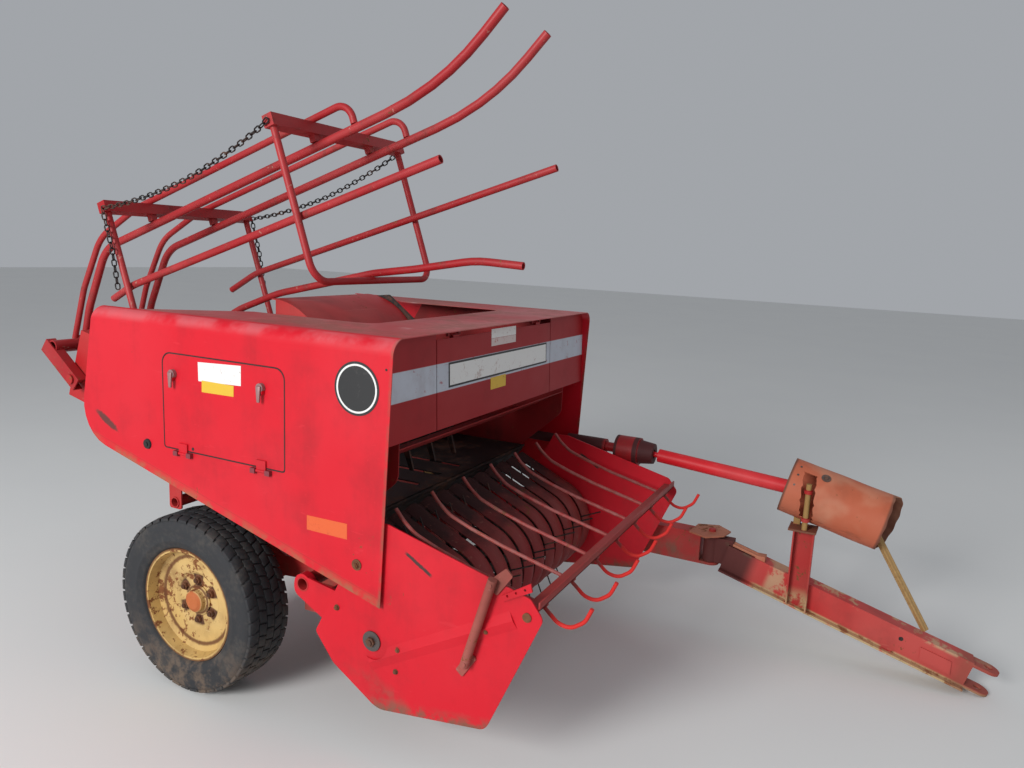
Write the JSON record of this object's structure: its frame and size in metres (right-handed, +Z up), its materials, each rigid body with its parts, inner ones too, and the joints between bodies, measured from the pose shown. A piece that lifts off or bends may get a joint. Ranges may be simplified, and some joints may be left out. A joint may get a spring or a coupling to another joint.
{
  "type": "square baler",
  "caption": "Trailed square baler with a full-width tined pickup, side drawbar and shaft, and a tubular bale chute folded over the body",
  "frame": {"origin": "centre of the bounding box in plan, on the ground", "axes": "+X to the machine's left, +Y to its rear, +Z up; the drawbar points along -Y"},
  "size_m": [1.703, 3.6511, 2.3456],
  "materials": {
    "body_red": "weathered red paint",
    "cover_red": "faded red paint",
    "front_maroon": "dull red paint",
    "frame_red": "worn red paint with rust",
    "pickup_red": "red paint",
    "band_maroon": "worn paint over rust",
    "chute_red": "worn red paint",
    "rim_cream": "cream paint with rust",
    "tyre_black": "worn rubber",
    "dark_steel": "dark worn steel",
    "gear_iron": "oily cast iron",
    "clutch_maroon": "dull red paint",
    "tube_red": "bright red paint",
    "guard_rust": "orange surface rust",
    "profile_rust": "golden rust"
  },
  "bodies": {
    "body": {"side_panel_right": "body_red", "side_panel_left": "body_red", "top_cover": "cover_red", "front_panel_right": "front_maroon", "front_panel_left": "front_maroon", "door_hinge": "front_maroon", "hatch_hinge": "front_maroon", "feed_hood": "front_maroon", "inner_wall_right": "body_red", "inner_wall_left": "body_red", "intake_deck": "dark_steel", "bale_chamber": "body_red", "ram_shield": "body_red", "rear_panel": "body_red", "gearbox": "gear_iron", "drive_clutch": "clutch_maroon", "axle_beam": "frame_red", "frame_rail_right": "frame_red", "frame_rail_left": "frame_red", "front_beam": "frame_red", "cross_tube": "frame_red", "pickup_pivot_tube": "frame_red", "drawbar_mount": "frame_red", "chute_hinge": "body_red", "tension_bars": "body_red", "packer_fork": "dark_steel"},
    "door": {"side_door": "body_red"},
    "hatch": {"front_hatch": "front_maroon"},
    "wheel_right": {"tyre_right": "tyre_black", "rim_right": "rim_cream"},
    "wheel_left": {"tyre_left": "tyre_black", "rim_left": "rim_cream"},
    "pickup": {"pickup_plate_right": "pickup_red", "pickup_plate_left": "pickup_red", "stripper_bands": "band_maroon", "height_strut": "frame_red"},
    "reel": {"pickup_reel": "dark_steel"},
    "guard": {"wind_guard": "band_maroon"},
    "drawbar": {"drawbar_beam": "frame_red", "guard_post": "frame_red", "shaft_guard": "guard_rust", "shaft_yoke": "dark_steel"},
    "profile": {"profile_bar": "profile_rust"},
    "drive": {"drive_tube": "tube_red"},
    "chute": {"chute_main_rods": "chute_red", "chute_top_rods": "chute_red", "chute_side_rods": "chute_red", "chute_beams": "chute_red", "chute_hoops": "chute_red", "chute_chains": "dark_steel"}
  },
  "joints": [
    {"name": "wheel_right_spin", "type": "hinge", "parent": "body", "child": "wheel_right", "pos_m": [-0.7535, 0.85062, 0.33], "axis": [1, 0, 0], "continuous": true},
    {"name": "wheel_left_spin", "type": "hinge", "parent": "body", "child": "wheel_left", "pos_m": [0.6905, 0.85062, 0.33], "axis": [1, 0, 0], "continuous": true},
    {"name": "door_hinge_turn", "type": "hinge", "parent": "body", "child": "door", "pos_m": [-0.827, 0.67262, 0.889], "axis": [0, -1, 0], "range_deg": [0, 110]},
    {"name": "hatch_hinge_turn", "type": "hinge", "parent": "body", "child": "hatch", "pos_m": [-0.073, 0.03162, 1.349], "axis": [-1, 0, 0], "range_deg": [0, 75]},
    {"name": "pickup_lift", "type": "hinge", "parent": "body", "child": "pickup", "pos_m": [-0.0315, 0.35362, 0.513], "axis": [1, 0, 0], "range_deg": [0, 12]},
    {"name": "reel_spin", "type": "hinge", "parent": "pickup", "child": "reel", "pos_m": [-0.0315, 0.05062, 0.405], "axis": [1, 0, 0], "continuous": true},
    {"name": "guard_lift", "type": "hinge", "parent": "pickup", "child": "guard", "pos_m": [-0.0315, -0.48138, 0.632], "axis": [1, 0, 0], "range_deg": [0, 45]},
    {"name": "drawbar_swing", "type": "hinge", "parent": "body", "child": "drawbar", "pos_m": [0.7185, -0.67938, 0.368], "axis": [0, 0, -1], "range_deg": [0, 40]},
    {"name": "drive_tube_swing", "type": "hinge", "parent": "body", "child": "drive", "pos_m": [0.7085, -0.36938, 0.755], "axis": [0, 0, -1], "range_deg": [0, 16.8]},
    {"name": "profile_bar_lift", "type": "hinge", "parent": "drawbar", "child": "profile", "pos_m": [0.7335, -1.27738, 0.655], "axis": [-1, 0, 0], "range_deg": [0, 58]},
    {"name": "chute_fold", "type": "hinge", "parent": "body", "child": "chute", "pos_m": [-0.4015, 1.63562, 1.045], "axis": [-1, 0, 0], "range_deg": [0, 150]}
  ],
  "couplings": [
    {"joint": "drive_tube_swing", "follows": "drawbar_swing", "ratio": 0.42}
  ]
}
